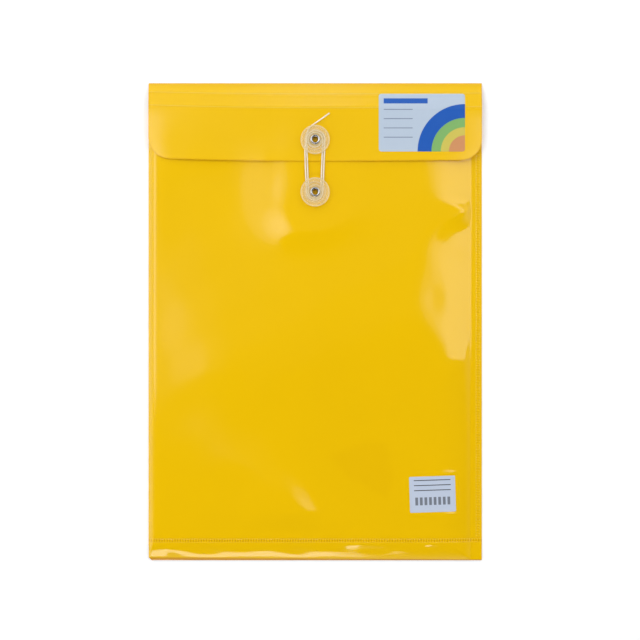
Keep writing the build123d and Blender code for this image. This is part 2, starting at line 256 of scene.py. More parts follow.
def colours():
    """The envelope's colour settings."""
    return bpy.context.scene.envelope_colours


# Curves


def ramp(value, start, width):
    """Straight rise from 0 at start to 1 over a width, level outside it."""
    return np.clip((value - start) / width, 0, 1)


def bell(value, spread):
    """Bell curve, 1 high: e to minus the square of the value over its spread."""
    return np.exp(-((value / spread) ** 2))


def bells(value, curves):
    """Sum of bell curves, each with its height, middle and spread."""
    return sum(tall * bell(value - middle, spread) for tall, middle, spread in curves)


def ease(share):
    """Smooth step from 0 to 1, level at both ends: three squares less two cubes of the share."""
    share = np.clip(share, 0, 1)
    return share**2 * (3 - 2 * share)


# Meshes from arrays


def joined(*parts):
    """Arrays side by side along a new last axis, stretched to one shape first."""
    return np.stack(np.broadcast_arrays(*parts), axis=-1)


def grid_mesh(name, points, quads, finish, uv=None, fold=None, sharp=35.0):
    """Mesh object from an array of points in millimetres and an array of quads of point numbers.

    fold holds how far each point's film is deepened, at folds and welds and as painted shade, or, below zero,
    paled, beside welds and as painted highlight at scores.
    """
    mesh = bpy.data.meshes.new(name)
    mesh.vertices.add(len(points))
    mesh.vertices.foreach_set("co", (points * MM).astype(np.float32).ravel())
    mesh.loops.add(quads.size)
    mesh.loops.foreach_set("vertex_index", quads.astype(np.int32).ravel())
    mesh.polygons.add(len(quads))
    mesh.polygons.foreach_set("loop_start", np.arange(0, quads.size, 4, dtype=np.int32))
    mesh.update(calc_edges=True)
    if uv is not None:
        layer = mesh.uv_layers.new(name="UVMap")
        layer.data.foreach_set("uv", uv[quads.ravel()].astype(np.float32).ravel())
    if fold is not None:
        layer = mesh.attributes.new("fold", "FLOAT", "POINT")
        layer.data.foreach_set("value", fold.astype(np.float32).ravel())
    mesh.materials.append(finish)
    mesh.shade_smooth()
    mesh.set_sharp_from_angle(angle=math.radians(sharp))
    piece = bpy.data.objects.new(name, mesh)
    bpy.context.scene.collection.objects.link(piece)
    return piece


def sheet_normals(top):
    """Unit normals of a grid of points: the cross product of its two running differences."""
    normal = np.cross(np.gradient(top, axis=1), np.gradient(top, axis=0))
    return normal / np.linalg.norm(normal, axis=2, keepdims=True)


def film_slab(name, top, thickness, finish, keep=None, uv=None, fold=None):
    """Closed sheet under a grid of points: its lower face is the grid moved back along its normals.

    Cells that keep leaves out become holes, and every free edge gets a wall.
    """
    rows, columns = top.shape[:2]
    below = top - sheet_normals(top) * thickness
    numbers = np.arange(rows * columns).reshape(rows, columns)
    keep = np.ones((rows - 1, columns - 1), bool) if keep is None else keep
    faces = joined(numbers[:-1, :-1], numbers[:-1, 1:], numbers[1:, 1:], numbers[1:, :-1])[keep]
    under = rows * columns
    padded = np.pad(keep, 1).astype(int)
    walls = []
    row_step, column_step = padded[1:, 1:-1] - padded[:-1, 1:-1], padded[1:-1, 1:] - padded[1:-1, :-1]
    for step, near, far in ((row_step, (0, 0), (0, 1)), (column_step, (1, 0), (0, 0))):
        for sign, (one, other) in ((1, (near, far)), (-1, (far, near))):
            row, column = np.nonzero(step == sign)
            first = numbers[row + one[0], column + one[1]]
            second = numbers[row + other[0], column + other[1]]
            walls.append(joined(first, first + under, second + under, second))
    quads = np.concatenate([faces, faces[:, ::-1] + under, *walls])
    points = np.concatenate([top.reshape(-1, 3), below.reshape(-1, 3)])
    used, packed = np.unique(quads, return_inverse=True)
    uv = None if uv is None else np.tile(uv.reshape(-1, 2), (2, 1))[used]
    fold = None if fold is None else np.tile(fold.ravel(), 2)[used]
    return grid_mesh(name, points[used], packed.reshape(quads.shape), finish, uv, fold)


def off_hole(top, button):
    """Cells of a grid whose middle lies outside the film's hole at a button."""
    middle = (top[:-1, :-1] + top[1:, 1:]) / 2
    return np.hypot(middle[:, :, 0], middle[:, :, 1] - button[1]) > FILM_HOLE


def graded(low, high, coarse, spots):
    """Numbers from low to high, coarse apart, and closer about each spot (middle, half width, step).

    The density of points is summed up along the line, and the sum is cut into equal parts.
    """
    fine = np.linspace(low, high, 4001)
    density = np.full_like(fine, 1 / coarse)
    for middle, half, step in spots:
        near = ramp(half + 4 - np.abs(fine - middle), 0, 4)
        density = np.maximum(density, near / step)
    total = np.concatenate([[0], np.cumsum((density[1:] + density[:-1]) / 2 * np.diff(fine))])
    count = int(math.ceil(total[-1])) + 1
    return np.interp(np.linspace(0, total[-1], count), total, fine)


def lathe(name, profile, centre, steps, finish, fold=0.0):
    """Closed profile (radius, height) turned about the upright line through centre.

    The UV map's u is the radius over TURNED_REACH and its v the share of a turn.
    """
    turn = np.linspace(0, 2 * np.pi, steps, endpoint=False)
    radius, height = profile[:, 0][:, None], profile[:, 1][:, None]
    x = centre[0] + radius * np.cos(turn)
    y = centre[1] + radius * np.sin(turn)
    points = joined(x, y, height)
    numbers = np.arange(points.shape[0] * steps).reshape(points.shape[0], steps)
    over, beside = np.roll(numbers, -1, axis=0), np.roll(numbers, -1, axis=1)
    corner = np.roll(over, -1, axis=1)
    quads = joined(numbers, beside, corner, over).reshape(-1, 4)
    uv = joined(radius / TURNED_REACH, turn / (2 * np.pi))
    return grid_mesh(name, points.reshape(-1, 3), quads, finish, uv.reshape(-1, 2), np.full(x.size, fold))


def soften(profile, cut, rounds=3):
    """Closed profile with its corners cut off, again and again at half the length, until they are round."""
    profile = np.asarray(profile, float)
    for _ in range(rounds):
        run = np.roll(profile, -1, axis=0) - profile
        length = np.linalg.norm(run, axis=1, keepdims=True)
        share = np.minimum(cut, 0.45 * length) / length
        profile = np.stack((profile + run * share, profile + run * (1 - share)), axis=1).reshape(-1, 2)
        cut = cut / 2
    return profile


# Shape of the film


def smooth_min(a, b, width):
    """The lower of two heights, rounded where they are within width of each other."""
    mix = np.clip(0.5 + 0.5 * (b - a) / width, 0, 1)
    return b + (a - b) * mix - width * mix * (1 - mix)


def turned(x, y, middle, degrees):
    """Places seen from middle along axes turned by degrees: distances times the turn's cosine and sine."""
    turn = math.radians(degrees)
    a, b = x - middle[0], y - middle[1]
    return a * math.cos(turn) + b * math.sin(turn), b * math.cos(turn) - a * math.sin(turn)


def bump(x, y, middle, spread, right=None, turn=0.0):
    """Bell-shaped hill, 1 high, at middle: e to minus the squares of the distances over their spreads.

    The spreads are along the hill's own x and y, turned by degrees, and right is the spread to its right.
    """
    a, b = turned(x, y, middle, turn)
    wide = spread[0] if right is None else np.where(a < 0, spread[0], right)
    return np.exp(-((a / wide) ** 2) - (b / spread[1]) ** 2)


def shoulder(distance, margin, low, high):
    """Rise from low at an edge to high at margin inside it: a cube of the share of margin that is left."""
    left = ramp(margin - distance, 0, margin)
    return high - (high - low) * left**3


def depth_in(x, y, corners):
    """Distance in from the nearest side of a convex outline whose corners run anticlockwise."""
    start = np.array(corners, float)
    side = np.roll(start, -1, axis=0) - start
    side /= np.linalg.norm(side, axis=1, keepdims=True)
    across = side[:, 0] * (y[..., None] - start[:, 1]) - side[:, 1] * (x[..., None] - start[:, 0])
    return across.min(axis=-1)


def label_distance(x, y):
    """Distance outside the pocket label's outline, below zero inside it."""
    a, b = turned(x, y, LABEL_MIDDLE, POCKET_LABEL_TURN)
    over = np.stack((np.abs(a) - POCKET_LABEL_SIZE[0] / 2, np.abs(b) - POCKET_LABEL_SIZE[1] / 2))
    outside = np.linalg.norm(np.maximum(over, 0), axis=0)
    return outside + np.minimum(over.max(axis=0), 0)


def string_distance(x, y):
    """Distance from the line that the string lies along, from the pocket button to past the flap button."""
    run = FLAP_BUTTON + STRING_REST - POCKET_BUTTON
    a, b = x - POCKET_BUTTON[0], y - POCKET_BUTTON[1]
    share = np.clip((a * run[0] + b * run[1]) / (run @ run), 0, 1)
    return np.hypot(a - share * run[0], b - share * run[1])


def slack(x, y):
    """Slack of the film: a few broad ridges and long sines, calm at the string and the edges."""
    wave = sum(tall * bump(x, y, *form) for tall, *form in RIDGES)
    wave += 0.4 * np.sin(x / 21 + y / 47 + 0.6) * np.sin(y / 33 - x / 80)
    wave += 0.16 * np.sin(x / 9 - y / 15 + 2.0) * np.sin(y / 13 + x / 31 + 0.8)
    calm = ease(ramp(string_distance(x, y), *SLACK_STRING)) * ease(ramp(RIGHT - np.abs(x), *SLACK_SIDES))
    calm = calm * ease(ramp(y - FOOT, *SLACK_FOOT)) * ramp(TOP - y, *SLACK_TOP)
    return wave * calm * sizes().drape / MM


def seam_fall(x, y):
    """Height of the front as it falls to its seam: a cubic as wide as FALL says, with small tilts."""
    wide = sum(np.interp(y + shift, FALL[:, 0], FALL[:, 1]) for shift in (-3, -1, 1, 3)) / 4
    height = shoulder(FALL_END - x, wide, LIP_TOP, FRONT_TOP)
    for middle, spread, slope in TILTS:
        height = height + slope * (x - middle[0]) * bump(x, y, middle, spread)
    return height


def front_height(x, y):
    """Top of the front: the lower of its side shoulders and the foot's arc, with slack and a pucker."""
    left = shoulder(x - SIDE_AXIS, LEFT_RISE, LEFT_LOW, FRONT_TOP)
    across = smooth_min(left, seam_fall(x, y), 0.2)
    rise = FRONT_TOP - LIP_TOP
    radius = (FOOT_RISE**2 + rise**2) / (2 * rise)
    out = np.clip(FOOT_RISE - (y - FOOT_AXIS), 0, FOOT_RISE)
    along = FRONT_TOP - radius + np.sqrt(radius**2 - out**2)
    tall, away, spread = PUCKER
    pucker = tall * bell(label_distance(x, y) - away, spread) * (0.7 + 0.3 * np.sin(x / 3.1 + y / 4.7))
    return smooth_min(across, along, 0.5) + slack(x, y) + pucker * ramp(y - FOOT, SLACK_FOOT[0], 6)


# Materials


class Tap:
    """An output socket, or a number, that takes part in sums: each operator adds its node."""

    def __init__(self, paint, socket):
        self.paint = paint
        self.socket = socket

    def maths(self, operation, *values):
        """Adds a Math node on this value and the others."""
        return self.paint.node("ShaderNodeMath", {"operation": operation}, self, *values)

    def __add__(self, other):
        return self.maths("ADD", other)

    def __sub__(self, other):
        return self.maths("SUBTRACT", other)

    def __mul__(self, other):
        return self.maths("MULTIPLY", other)

    def __rsub__(self, other):
        return self.paint.node("ShaderNodeMath", {"operation": "SUBTRACT"}, other, self)

    def __gt__(self, other):
        return self.maths("GREATER_THAN", other)

    def __lt__(self, other):
        return self.maths("LESS_THAN", other)

    __radd__ = __add__
    __rmul__ = __mul__

    def within(self, low, high):
        """1 where this value lies between low and high, and 0 elsewhere."""
        return (self > low) * (self < high)


class Paint:
    """A procedural material, or the world, and the nodes that make it."""

    def __init__(self, name, world=None):
        self.material = world or bpy.data.materials.new(name)
        self.material.use_nodes = True
        self.tree = self.material.node_tree
        self.surface = self.tree.nodes["Background" if world else "Principled BSDF"]

    def node(self, kind, settings=None, *values, out=0, **named):
        """Adds a node: its settings first, then its sockets' values or links, in order or by name."""
        made = self.tree.nodes.new(kind)
        for key, value in (settings or {}).items():
            if key == "stops":
                stops = made.color_ramp.elements
                for index, (place, colour) in enumerate(value):
                    stop = stops[index] if index < 2 else stops.new(place)
                    stop.position = place
                    stop.color = (*colour, 1)
            else:
                setattr(made, key, value)
        sockets = dict(enumerate(values)) | {key.replace("_", " "): value for key, value in named.items()}
        for key, value in sockets.items():
            self.feed(made.inputs[key], value)
        return Tap(self, made.outputs[out])

    def feed(self, socket, value):
        """Links a tap to a socket, or sets a plain value on it."""
        if isinstance(value, Tap):
            self.tree.links.new(value.socket, socket)
        else:
            socket.default_value = value

    def set(self, **named):
        """Feeds the surface shader's own sockets, named with _ for a space."""
        for key, value in named.items():
            self.feed(self.surface.inputs[key.replace("_", " ")], value)

    def place(self, source="Object"):
        """Object coordinates or the piece's UV map."""
        return self.node("ShaderNodeTexCoord", out=source)

    def noise(self, scale, detail=3.0):
        """Soft noise, scale bumps a metre, about 0.5."""
        return self.node("ShaderNodeTexNoise", None, Vector=self.place(), Scale=scale, Detail=detail)

    def mix(self, share, first, second):
        """Colour between two colours, through the numbers of the Mix node's colour sockets."""
        made = self.node("ShaderNodeMix", {"data_type": "RGBA"}, out=2)
        sockets = made.socket.node.inputs
        self.feed(sockets[0], share)
        self.feed(sockets[6], first if isinstance(first, Tap) else (*first, 1))
        self.feed(sockets[7], second if isinstance(second, Tap) else (*second, 1))
        return made

    def seen(self):
        """1 where the camera, a gloss or a clear piece shows the surface, and 0 where it only lights."""
        seen = 0.0
        for ray in ("Is Camera Ray", "Is Glossy Ray", "Is Transmission Ray"):
            seen = self.node("ShaderNodeLightPath", out=ray) + seen
        return seen.maths("MINIMUM", 1.0)

    def split(self, vector):
        """The three parts of a vector."""
        x = self.node("ShaderNodeSeparateXYZ", None, vector)
        return [Tap(self, out) for out in x.socket.node.outputs]

    def relief(self, height, depth):
        """Bumps the surface by a height, depth metres tall."""
        self.set(Normal=self.node("ShaderNodeBump", None, Height=height, Strength=1.0, Distance=depth))


def film_paint(name, dull=0.05):
    """Translucent yellow film: cloudy colour, glossy, deeper at folds and welds and with painted shade, paler
    beside welds and with painted highlights at scores.
    """
    paint = Paint(name)
    cloud = paint.noise(9.0, 3.0)
    haze = paint.noise(60.0, 4.0)
    fold = paint.node("ShaderNodeAttribute", {"attribute_name": "fold"}, out="Fac")
    colour = paint.mix((cloud - 0.4) * 0.5, colours().film, colours().film_deep)
    # The fold attribute deepens the colour at folds, welds and painted shade, and below zero pales it for
    # painted highlights
    colour = paint.mix(fold, colour, colours().film_fold_and_shade)
    colour = paint.mix(0 - fold, colour, colours().film_pale_and_highlight)
    paint.set(Base_Color=colour, Roughness=haze * 0.05 + dull, Transmission_Weight=0.12, IOR=1.49)
    paint.relief(paint.noise(1500.0, 2.0), 0.0000006)
    return paint.material


def disc_paint():
    """Milky moulded plastic that lets the film's colour through, denser at its rim, rings and hub."""
    paint = Paint("milky_plastic")
    radius, _, _ = paint.split(paint.place("UV"))
    cloud = paint.noise(160.0, 3.0)
    grey = [(0.0, 0.4), (0.28, 0.4), (0.31, 0.32), (0.43, 0.32), (0.45, 0.4), (0.48, 0.4), (0.5, 0.27)]
    grey += [(0.6, 0.27), (0.62, 0.36), (0.67, 0.36), (0.69, 0.26), (0.83, 0.26), (0.86, 0.42), (1.0, 0.42)]
    stops = [(place, (level, level, level)) for place, level in grey]
    dense = paint.node("ShaderNodeValToRGB", {"stops": stops}, radius)
    colour = paint.mix(cloud * 0.6, colours().disc, (0.9, 0.77, 0.48))
    paint.set(Base_Color=colour, Roughness=cloud * 0.15 + 0.2, Alpha=dense, IOR=1.5)
    paint.relief(paint.noise(900.0, 2.0), 0.000003)
    return paint.material


def metal_paint():
    """Nickel plating with fine turning marks."""
    paint = Paint("plated_eyelet")
    wear = paint.noise(900.0, 3.0)
    colour = paint.mix(wear * 0.6, colours().metal, (0.36, 0.34, 0.3))
    paint.set(Base_Color=colour, Roughness=wear * 0.14 + 0.08, Metallic=1.0)
    paint.relief(paint.noise(2500.0, 2.0), 0.000008)
    return paint.material


def string_paint():
    """Whitish twisted plastic string: strands run round it along its length."""
    paint = Paint("whitish_string")
    along, around, _ = paint.split(paint.place("UV"))
    turns = along * 900.0 + around * 3.0
    shade = (turns * (2 * math.pi)).maths("SINE") * 0.5 + 0.5
    # Darker between the strands: painted shade in the grooves
    colour = paint.mix(shade, tuple(0.88 * part for part in colours().string), colours().string)
    paint.set(Base_Color=colour, Roughness=shade * 0.2 + 0.35)
    paint.relief(shade, 0.00003)
    return paint.material


# Operators


def weld_bar(place, pitch):
    """1 on the pressed bars of a weld, which take the middle 0.46 of each pitch, and 0 between them."""
    return ramp(0.26 - np.abs((place / pitch) % 1 - 0.5), 0, 0.06)


def bar_places(low, high, pitch):
    """Numbers from low to high that fall on the edges of the weld's bars, and halfway between the bars."""
    step = np.arange(math.floor(low / pitch), math.ceil(high / pitch) + 1)
    edges = ((step[:, None] + np.array([0.0, 0.24, 0.3, 0.5, 0.7, 0.76])) * pitch).ravel()
    return np.concatenate([[low], edges[(edges > low + 0.05) & (edges < high - 0.05)], [high]])


class ENVELOPE_OT_front(bpy.types.Operator):
    """Makes the pocket's front film with its rolled left side"""

    bl_idname = "envelope.front"
    bl_label = "Front Film"

    def execute(self, context):
        film = sizes().film / MM
        across_marks = [(0, 12, 0.7), (LABEL_MIDDLE[0], 22, 0.9)]
        across_marks += [(SIDE_AXIS, 16, 0.8), (LIP_START, 16, 0.8)]
        along_marks = [(POCKET_BUTTON[1], 12, 0.7), (LABEL_MIDDLE[1], 18, 0.9), (FRONT_LOW[1], 14, 1.4)]
        x = graded(SIDE_AXIS, SEAM_START, 3.4, across_marks)
        y = graded(FRONT_LOW[1], FRONT_HIGH[1], 3.4, along_marks)
        across, along = np.meshgrid(x, y)
        flat = joined(across, along, front_height(across, along))
        radius = LEFT_LOW / 2
        fold = joined(SIDE_AXIS - radius * np.cos(HALF_ROLL), y[:, None], radius + radius * np.sin(HALF_ROLL))
        top = np.concatenate([fold, flat], axis=1)
        keep = off_hole(top, POCKET_BUTTON)
        # A darker patch on the front, carried by the fold attribute
        dark_patch = ease(depth_in(top[:, :, 0], top[:, :, 1], DARK_PATCH) / DARK_PATCH_EDGE)
        piece = film_slab("front_film", top, film, film_paint("front_film"), keep, fold=0.08 * dark_patch)
        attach(piece, "pocket")
        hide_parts("front_panel", "side_fold")
        return {"FINISHED"}


class ENVELOPE_OT_side_seam(bpy.types.Operator):
    """Makes the welded lip at the right with its column of pressed bars"""

    bl_idname = "envelope.side_seam"
    bl_label = "Side Seam"

    def execute(self, context):
        pitch, depth = sizes().weld_pitch / MM, sizes().weld_depth / MM
        y = bar_places(FRONT_LOW[1], FRONT_HIGH[1], pitch)
        x = np.concatenate([np.linspace(SEAM_START, LIP_START, 4)[:-1], np.linspace(LIP_START, RIGHT, 20)])
        across, along = np.meshgrid(x, y)
        bar = weld_bar(along, pitch)
        off = np.abs(across - SEAM_WELD)
        column = ramp(SEAM_BAR[0] - off, 0, SEAM_BAR[1])
        height = front_height(across, along) - depth * bar * column
        top = joined(across, along, height)
        pale = bells(off, SEAM_LINES)
        fold = SEAM_TONE[0] * bar * column - SEAM_TONE[1] * (1 - bar) * pale
        piece = film_slab("side_seam", top, sizes().film / MM, film_paint("welded_lip"), fold=fold)
        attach(piece, "pocket")
        return {"FINISHED"}


class ENVELOPE_OT_foot(bpy.types.Operator):
    """Makes the turn-up at the foot with its fold, slack waves and dotted weld"""

    bl_idname = "envelope.foot"
    bl_label = "Foot Turn-up"

    def execute(self, context):
        film = sizes().film / MM
        pitch, depth = sizes().weld_pitch / MM, sizes().weld_depth / MM
        lift = film + 0.05
        radius = (LIP_TOP + lift) / 2
        near_edge = TURN_HIGH[1] - 4.0
        rise = np.linspace(FOOT_AXIS, near_edge, 26)[:-1]
        rim = np.linspace(near_edge, TURN_HIGH[1], 22)
        y = np.concatenate([FOOT_AXIS - radius * np.cos(HALF_ROLL), rise, rim])
        reach = RIGHT - FOOT_TRIM
        columns = (bar_places(-reach, reach, pitch) + reach) / (2 * reach)
        left = -reach + np.clip(FOOT_CORNER - (y - FOOT), 0, FOOT_CORNER)
        across = left[:, None] + (reach - left[:, None]) * columns
        along = np.broadcast_to(y[:, None], across.shape)
        bar = weld_bar(across, pitch)
        row = ramp(FOOT_BAR[0] - np.abs(along - FOOT_WELD), 0, FOOT_BAR[1])
        height = front_height(across, along) + lift + self.ripples(across, along) - depth * bar * row
        height[: len(HALF_ROLL)] = (radius + radius * np.sin(HALF_ROLL))[:, None]
        # Painted shade: a deep strip along the foot's fold, taller at the left
        strip = 1.5 - 0.75 * across / RIGHT
        deep = ramp(FOOT + strip - along + 0.2, 0, 0.4)
        pale = bells(along - FOOT_WELD, FOOT_LINES)
        fold = deep + FOOT_TONE[0] * bar * row - FOOT_TONE[1] * (1 - bar) * pale
        top = joined(across, along, height)
        piece = film_slab("foot_turn_up_film", top, film, film_paint("turn_up_film"), fold=fold)
        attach(piece, "pocket")
        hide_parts("foot_turn_up")
        return {"FINISHED"}

    def ripples(self, x, y):
        """Slack of the turn-up: sines between fold and weld, a quick rise at the fold, and small bumps."""
        between = ramp(y, FOOT_AXIS, FOOT_WELD - FOOT_AXIS)
        wave = 0.16 * np.sin(x / 13 + 1.5 * np.sin(x / 37))
        wave += 0.05 * np.sin(x / 5.3 + y / 4 + 1.0)
        wave += 0.5 * bump(x, y, (-112, -173), (9, 5), 14, -20)
        past = np.clip(y - FOOT_AXIS, 0, None) / 2.1
        quick = 0.3 * past * np.exp(1 - past) * ease((x + 112) / 24)
        sides = ramp(RIGHT - 4 - np.abs(x), 0, 10)
        small = sum(tall * bump(x, y, middle, spread) for tall, middle, spread in FOOT_BUMPS)
        return (wave * np.sin(np.pi * between) ** 2 + quick) * sides + small


def flap_bow(x, y):
    """How far the flap's lines lie from straight: a parabola, lowest in the middle, none at the fold."""
    out = x / RIGHT
    hang = FLAP_HANG - np.where(x < 0, *FLAP_RISE) * out**2
    return -hang * (1 - np.exp(-np.clip(FLAP_LINE[0, 0] - y, 0, None) / BOW_START))


def flap_height(x, y):
    """Top of the flap, at y before the bow: straight strips, bells at the scores, slack, droop and lift."""
    film = sizes().film / MM
    order = FLAP_LINE[::-1]
    line = np.interp(y, order[:, 0], order[:, 1])
    for place in (FLAP_LINE[1, 0], FLAP_LINE[2, 0]):
        line = line + bells(np.abs(y - place), SCORE_RELIEF)
    out = np.abs(x)
    droop = FLAP_DROOP * ramp(out, *DROOP_OUT) ** 2 * ramp(FLAP_LINE[2, 0] - y, 0, DROOP_DOWN)
    open_edge = ramp(out, *LIFT_FROM) * ramp(LIFT_TO[0] - out, 0, LIFT_TO[1])
    lift = np.where(x < 0, *FLAP_LIFT) * bell(y - FLAP_EDGE, LIFT_UP) * open_edge
    return line + film / 2 + slack(x, y + flap_bow(x, y)) - droop + lift


class ENVELOPE_OT_flap(bpy.types.Operator):
    """Makes the flap's film with its top fold and score lines"""

    bl_idname = "envelope.flap"
    bl_label = "Flap Film"

    def execute(self, context):
        film = sizes().film / MM
        fold = FLAP_LINE[0]
        marks = [(place, 2.5, 0.3) for place in FLAP_LINE[1:3, 0]]
        marks += [(FLAP_BUTTON[1], 12, 0.7), (FLAP_EDGE, 3, 0.35), (FLAP_EDGE, 16, 0.8)]
        y = graded(FLAP_EDGE, fold[0], 1.6, marks)[::-1]
        drop = np.clip(FLAP_CORNER - (y - FLAP_EDGE), 0, FLAP_CORNER)
        half = FLAP_HALF - FLAP_CORNER + np.sqrt(FLAP_CORNER**2 - drop**2)
        columns = graded(-RIGHT, RIGHT, 3.0, [(0, 12, 0.7), (-RIGHT, 2, 0.35), (RIGHT, 2, 0.35)]) / RIGHT
        across = half[:, None] * columns
        along = np.broadcast_to(y[:, None], across.shape)
        top = joined(across, along + flap_bow(across, along), flap_height(across, along))
        upper, lower = along - FLAP_LINE[1, 0], along - FLAP_LINE[2, 0]
        score = np.where(np.abs(upper) < np.abs(lower), upper, lower)
        # Painted shade and highlight along the two score lines
        crease = bells(score, SCORE_SHADE_AND_HIGHLIGHT)
        aside = np.maximum(np.abs(across) - (FLAP_HALF - FLAP_CORNER), 0)
        edge = FLAP_CORNER - np.hypot(aside, np.maximum(FLAP_EDGE + FLAP_CORNER - along, 0))
        crease += EDGE_TONE[0] * bell(edge, EDGE_TONE[1])
        slope = math.atan2(FLAP_LINE[1, 1] - fold[1], fold[0] - FLAP_LINE[1, 0])
        turn = np.linspace(-np.pi * 0.5, np.pi * 0.5 - slope, 9)
        out, up = FOLD_RADIUS * np.cos(turn)[:, None], FOLD_RADIUS * np.sin(turn)[:, None]
        bead = joined(FLAP_HALF * columns, fold[0] + out, fold[1] + up)
        top = np.concatenate([bead, top[2:]])
        crease = np.concatenate([np.full(bead.shape[:2], FOLD_TONE), crease[2:]])
        keep = off_hole(top, FLAP_BUTTON)
        finish = film_paint("flap_film", 0.15)
        piece = film_slab("flap_film", top[:, ::-1], film, finish, keep[:, ::-1], fold=crease[:, ::-1])
        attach(piece, "flap")
        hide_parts("flap_top_strip", "flap_mid_strip", "flap_panel")
        return {"FINISHED"}


class ENVELOPE_OT_buttons(bpy.types.Operator):
    """Makes the moulded discs and their rolled eyelets"""

    bl_idname = "envelope.buttons"
    bl_label = "Buttons"

    def execute(self, context):
        milky, plated = disc_paint(), metal_paint()
        steps = sizes().disc_steps
        for name, centre, body, base_body in (
            ("flap", FLAP_BUTTON, "flap_disc", "flap"),
            ("pocket", POCKET_BUTTON, "pocket_disc", "pocket"),
        ):
            low, high = node_box(name + "_button")
            foot, rim = low[2], high[2]
            under, plate = foot + DISC_UNDER, foot + DISC_PLATE
            disc = soften([
                (2.45, foot), (3.6, foot), (3.6, under), (10.9, under), (11.2, under + 0.3),
                (11.2, rim - 0.2), (10.95, rim), (10.35, rim), (9.95, plate),
                (8.2, plate), (8.0, plate + 0.15), (7.4, plate + 0.15), (7.2, plate),
                (6.0, plate), (5.8, plate + 0.12), (5.2, plate + 0.12), (5.0, plate + 0.1),
                (2.45, plate + 0.1),
            ], 0.1)
            piece = lathe(name + "_disc", disc, centre, steps, milky)
            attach(piece, body)
            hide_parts(name + "_button")
            low, high = node_box(name + "_eyelet")
            head = high[2] - EYELET_HEAD
            film_under = low[2] + EYELET_FLANGE
            film_over = film_under + EYELET_FLANGE
            ring = soften([
                (2.1, low[2]), (3.3, low[2]), (3.3, film_under), (2.4, film_under), (2.4, head),
                (3.8, head), (3.72, head + 0.33), (3.3, high[2]), (2.75, high[2]), (2.25, head + 0.4),
                (2.1, head - 0.2),
            ], 0.14)
            piece = lathe(name + "_eyelet_ring", ring, centre, steps // 2, plated)
            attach(piece, base_body)
            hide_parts(name + "_eyelet")
            # Film disc across the bore, deepened as painted shade in the hole
            bore = [(0.02, film_under), (2.03, film_under), (2.03, film_over), (0.02, film_over)]
            finish = film_paint(name + "_eyelet_film")
            piece = lathe(name + "_eyelet_film", soften(bore, 0.03), centre, steps // 2, finish, fold=0.7)
            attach(piece, base_body)
        return {"FINISHED"}


class ENVELOPE_OT_string(bpy.types.Operator):
    """Winds the string round both hubs and lays its free end on the flap"""

    bl_idname = "envelope.string"
    bl_label = "String"

    def execute(self, context):
        shift = STRING_PITCH / 4
        lower = POCKET_BUTTON[1] - FLAP_BUTTON[1]
        diameter = sizes().string / MM
        route = [[(STRING_FIRST, 0)]]
        turns = [(-1, -diameter, 1, 0), (1, 0, 3, 180), (-1, lower, 1, 0), (1, 0, 7, 180), (-1, lower, 5, 0)]
        # Half turns about the hubs, by cosine and sine: side and height of the middle, growth, first angle
        for side, middle, wider, start in turns:
            angle = np.radians(np.linspace(start, start - 180, 13))
            radius = STRING_FIRST + wider * shift
            route.append(joined(side * shift + radius * np.cos(angle), middle + radius * np.sin(angle)))
        route = np.concatenate([*route, TAIL_POINTS])
        tail = len(TAIL_POINTS)
        height = FLAP_TOP + STRING_GAP + diameter / 2 + STRING_SLOPE * route[:, 1]
        height[-tail:] = FLAP_TOP + diameter / 2 + np.array(TAIL_GAPS)
        curve = bpy.data.curves.new("string_route", "CURVE")
        curve.dimensions = "3D"
        spline = curve.splines.new("NURBS")
        spline.points.add(len(route) - 1)
        places = joined(route[:, 0], route[:, 1] + FLAP_BUTTON[1], height) * MM
        spline.points.foreach_set("co", np.insert(places, 3, 1.0, axis=1).ravel())
        spline.order_u = 3
        spline.use_endpoint_u = True
        spline.resolution_u = 8
        guide = bpy.data.objects.new("string_route", curve)
        context.scene.collection.objects.link(guide)
        context.view_layer.update()
        wire = bpy.data.meshes.new_from_object(guide.evaluated_get(context.evaluated_depsgraph_get()))
        line = np.zeros(3 * len(wire.vertices))
        wire.vertices.foreach_get("co", line)
        bpy.data.objects.remove(guide)
        bpy.data.meshes.remove(wire)
        bpy.data.curves.remove(curve)
        line = line.reshape(-1, 3)
        piece = twisted_tube("string", line / MM, diameter / 2, string_paint())
        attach(piece, "flap")
        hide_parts("string_winding", "string_tail")
        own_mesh(piece)
        return {"FINISHED"}


def twisted_tube(name, line, radius, finish, sides=12, lay=3.2, groove=0.08):
    """Two-ply string along a line: a circle with two shallow grooves that turn once in each lay.

    The section lies across the line's running difference, and the UV map's u is metres along the line.
    """
    run = np.gradient(line, axis=0)
    run /= np.linalg.norm(run, axis=1, keepdims=True)
    beside = np.cross((0.0, 0.0, 1.0), run)
    beside /= np.linalg.norm(beside, axis=1, keepdims=True)
    above = np.cross(run, beside)
    along = np.concatenate([[0], np.cumsum(np.linalg.norm(np.diff(line, axis=0), axis=1))])[:, None]
    turn = np.linspace(0, 2 * np.pi, sides, endpoint=False)
    reach = radius * (1.0 + groove * np.cos(2 * (turn - 2 * np.pi * along / lay)))
    out = (reach * np.cos(turn))[..., None] * beside[:, None]
    points = line[:, None] + out + (reach * np.sin(turn))[..., None] * above[:, None]
    numbers = np.arange(len(line) * sides).reshape(-1, sides)
    beyond = np.roll(numbers, -1, axis=1)
    walls = joined(numbers[:-1], beyond[:-1], beyond[1:], numbers[1:]).reshape(-1, 4)
    rung = np.arange(sides // 2 - 1)
    cap = joined(rung, rung + 1, sides - 2 - rung, sides - 1 - rung)
    quads = np.concatenate([walls, cap[:, ::-1], cap + (len(line) - 1) * sides])
    uv = joined(along * MM, turn / (2 * np.pi))
    return grid_mesh(name, points.reshape(-1, 3), quads, finish, uv.reshape(-1, 2), sharp=60.0)


